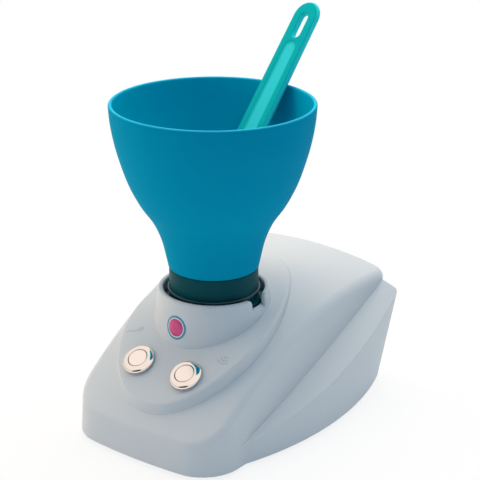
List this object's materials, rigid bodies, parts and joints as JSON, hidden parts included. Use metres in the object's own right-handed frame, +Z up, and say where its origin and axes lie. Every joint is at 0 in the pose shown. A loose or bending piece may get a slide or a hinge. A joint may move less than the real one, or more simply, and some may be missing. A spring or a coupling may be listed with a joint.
{
  "type": "dental impression mixer",
  "caption": "Bench mixer for impression paste: wedge-shaped housing, motor-turned rubber bowl in a collar, push buttons and a mixing spatula.",
  "frame": {"origin": "on the spindle's axis, in the plane that the rubber feet stand on", "axes": "+Z up along the spindle, -Y to the buttons at the front, +X to the right as the user faces the front"},
  "size_m": [0.169, 0.207, 0.2721],
  "materials": {
    "housing_plastic": "light bluish-grey moulding, satin gloss",
    "bowl_rubber": "matte blue soft rubber",
    "dark_plastic": "very dark teal moulding",
    "spatula_plastic": "teal, slightly translucent look, satin",
    "button_steel": "polished stainless steel",
    "black_plastic": "black moulding",
    "foot_rubber": "matte black rubber",
    "belt_rubber": "matte black ribbed rubber",
    "shaft_steel": "turned steel",
    "sheet_steel": "zinc-plated sheet",
    "cast_alloy": "die-cast alloy",
    "screw_steel": "plated steel",
    "magnet_dark": "sintered dark grey",
    "pulley_plastic": "off-white moulding",
    "contact_brass": "brass",
    "board_green": "green laminate",
    "coil_amber": "amber tape over a dark core",
    "nut_brass": "nickel-plated"
  },
  "bodies": {
    "base": {"upper_housing": "housing_plastic", "bottom_plate": "housing_plastic", "rubber_feet": "foot_rubber", "housing_screws": "screw_steel", "bearing_tower": "cast_alloy", "tower_screws": "screw_steel", "upper_bearing_outer": "shaft_steel", "lower_bearing_outer": "shaft_steel", "motor_bracket": "sheet_steel", "bracket_screws": "screw_steel", "motor_can": "sheet_steel", "motor_magnets": "magnet_dark", "drive_belt": "belt_rubber", "power_inlet": "black_plastic", "inlet_pins": "contact_brass", "inlet_screws": "screw_steel", "switch_frame": "black_plastic", "circuit_board": "board_green", "board_posts": "pulley_plastic", "board_transformer": "coil_amber", "board_parts": "black_plastic", "left_button_bezel": "button_steel", "left_button_nut": "nut_brass", "left_contact_block": "black_plastic", "right_button_bezel": "button_steel", "right_button_nut": "nut_brass", "right_contact_block": "black_plastic"},
    "spindle": {"upper_bearing_inner": "shaft_steel", "lower_bearing_inner": "shaft_steel", "spindle_shaft": "shaft_steel", "retaining_clip": "screw_steel", "spindle_pulley": "pulley_plastic", "bowl_holder": "dark_plastic", "holder_bolt": "screw_steel"},
    "bowl": {"mixing_bowl": "bowl_rubber"},
    "spatula": {"spatula": "spatula_plastic"},
    "rotor": {"motor_armature": "magnet_dark", "motor_shaft": "shaft_steel", "motor_pulley": "pulley_plastic"},
    "rocker": {"switch_rocker": "black_plastic"},
    "left_cap": {"left_button_cap": "button_steel"},
    "right_cap": {"right_button_cap": "button_steel"}
  },
  "joints": [
    {"name": "spindle_turn", "type": "hinge", "parent": "base", "child": "spindle", "pos_m": [0, 0, 0.06], "axis": [0, 0, 1], "continuous": true},
    {"name": "motor_turn", "type": "hinge", "parent": "base", "child": "rotor", "pos_m": [0, 0.066, 0.05], "axis": [0, 0, 1], "continuous": true},
    {"name": "bowl_lift", "type": "slide", "parent": "spindle", "child": "bowl", "axis": [0, 0, 1], "range_m": [0, 0.12]},
    {"name": "spatula_draw", "type": "slide", "parent": "bowl", "child": "spatula", "axis": [0.1462, 0.5457, 0.8251], "range_m": [0, 0.15]},
    {"name": "left_button_press", "type": "slide", "parent": "base", "child": "left_cap", "axis": [0, 0.509, -0.8607], "range_m": [0, 0.0016], "stiffness_N_per_m": 1500, "springref_m": -0.001},
    {"name": "right_button_press", "type": "slide", "parent": "base", "child": "right_cap", "axis": [0, 0.509, -0.8607], "range_m": [0, 0.0016], "stiffness_N_per_m": 1500, "springref_m": -0.001},
    {"name": "power_switch", "type": "hinge", "parent": "base", "child": "rocker", "pos_m": [0.029, 0.1115, 0.033], "axis": [-1, 0, 0], "range_deg": [0, 18]}
  ],
  "couplings": [
    {"joint": "motor_turn", "follows": "spindle_turn", "ratio": 2.4444}
  ]
}
